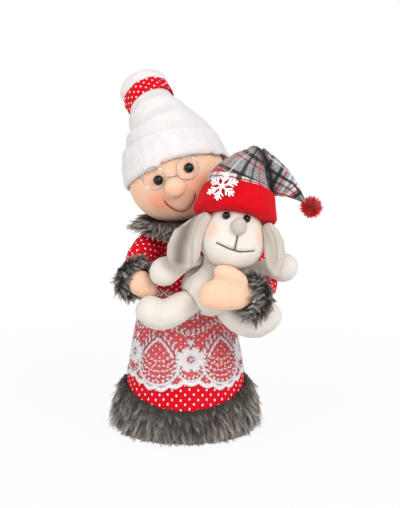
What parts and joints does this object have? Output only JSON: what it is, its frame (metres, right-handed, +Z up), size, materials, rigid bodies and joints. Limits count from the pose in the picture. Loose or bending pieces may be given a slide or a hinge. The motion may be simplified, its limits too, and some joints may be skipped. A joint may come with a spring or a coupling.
{
  "type": "grandmother cone figure with a plush dog",
  "caption": "Stuffed grandmother holiday figure on a weighted cone dress with lace and fur trim, hugging a plush dog in a cap with a pompom.",
  "frame": {"origin": "centre of the base board's flat underside, on the axis of the cone", "axes": "+Z up the cone's axis, -Y to the figure's front, +X to the figure's left"},
  "size_m": [0.1992, 0.1831, 0.3407],
  "materials": {
    "board": "raw fibreboard",
    "ballast": "fine gravel in a cloth bag",
    "card": "plain",
    "padding": "wadding",
    "dress": "woven cotton with white pin dots",
    "lace": "floral scalloped lace",
    "fur": "long-pile faux fur",
    "skin": "smooth knit",
    "bead": "polished",
    "red_thread": "embroidery thread",
    "black_thread": "embroidery thread",
    "wire": "polished wire",
    "fleece": "fleece",
    "plush": "short plush",
    "ear_plush": "short plush",
    "plaid": "brushed plaid",
    "felt": "felt",
    "snow": "stiff white felt",
    "pompom": "yarn"
  },
  "bodies": {
    "figure": {"base_board": "board", "ballast_bag": "ballast", "cone_core": "card", "body_padding": "padding", "dress_cone": "dress", "lace_overlay": "lace", "hem_fur": "fur", "collar_fur": "fur", "sleeve_right": "dress", "sleeve_left": "dress", "hand_right": "skin", "cuff_fur_right": "fur", "hand_left": "skin", "cuff_fur_left": "fur", "head": "skin", "nose": "skin", "eye_right": "bead", "eye_left": "bead", "mouth_thread": "red_thread", "spectacles": "wire", "cap_brim": "fleece", "cap_crown": "fleece", "cap_ribbon": "dress", "dog_body": "plush", "dog_head": "plush", "dog_nose": "ear_plush", "dog_eye_right": "bead", "dog_eye_left": "bead", "dog_mouth_thread": "black_thread", "dog_cap_crown": "plaid", "dog_cap_band": "felt", "snowflake": "snow"},
    "dog_ear_right_body": {"dog_ear_right": "ear_plush"},
    "dog_ear_left_body": {"dog_ear_left": "ear_plush"},
    "dog_arm_right_body": {"dog_arm_right": "plush"},
    "dog_arm_left_body": {"dog_arm_left": "plush"},
    "dog_leg_right_body": {"dog_leg_right": "plush"},
    "dog_leg_left_body": {"dog_leg_left": "plush"},
    "dog_cap_tail_body": {"dog_cap_tail": "plaid", "pompom": "pompom"}
  },
  "joints": [
    {"name": "dog_ear_right_swing", "type": "hinge", "parent": "figure", "child": "dog_ear_right_body", "pos_m": [0.02, -0.08513, 0.22107], "axis": [-1, 0, 0], "range_deg": [0, 50]},
    {"name": "dog_ear_left_swing", "type": "hinge", "parent": "figure", "child": "dog_ear_left_body", "pos_m": [0.0745, -0.08613, 0.21208], "axis": [-1, 0, 0], "range_deg": [0, 50]},
    {"name": "dog_arm_right_bend", "type": "hinge", "parent": "figure", "child": "dog_arm_right_body", "pos_m": [0.007, -0.06713, 0.176], "axis": [0, 1, 0], "range_deg": [0, 15], "stiffness_Nm_per_rad": 0.08, "springref_deg": -1.15},
    {"name": "dog_arm_left_bend", "type": "hinge", "parent": "figure", "child": "dog_arm_left_body", "pos_m": [0.055, -0.06013, 0.163], "axis": [0, -1, 0], "range_deg": [0, 15], "stiffness_Nm_per_rad": 0.08, "springref_deg": -1.15},
    {"name": "dog_leg_right_bend", "type": "hinge", "parent": "figure", "child": "dog_leg_right_body", "pos_m": [0.0095, -0.06613, 0.141], "axis": [0, -1, 0], "range_deg": [0, 12], "stiffness_Nm_per_rad": 0.14, "springref_deg": -2.29},
    {"name": "dog_leg_left_bend", "type": "hinge", "parent": "figure", "child": "dog_leg_left_body", "pos_m": [0.035, -0.06513, 0.1375], "axis": [0, 1, 0], "range_deg": [0, 12], "stiffness_Nm_per_rad": 0.14, "springref_deg": -2.29},
    {"name": "dog_cap_tail_fold", "type": "hinge", "parent": "figure", "child": "dog_cap_tail_body", "pos_m": [0.07231, -0.05913, 0.27899], "axis": [0, -1, 0], "range_deg": [0, 40]}
  ]
}
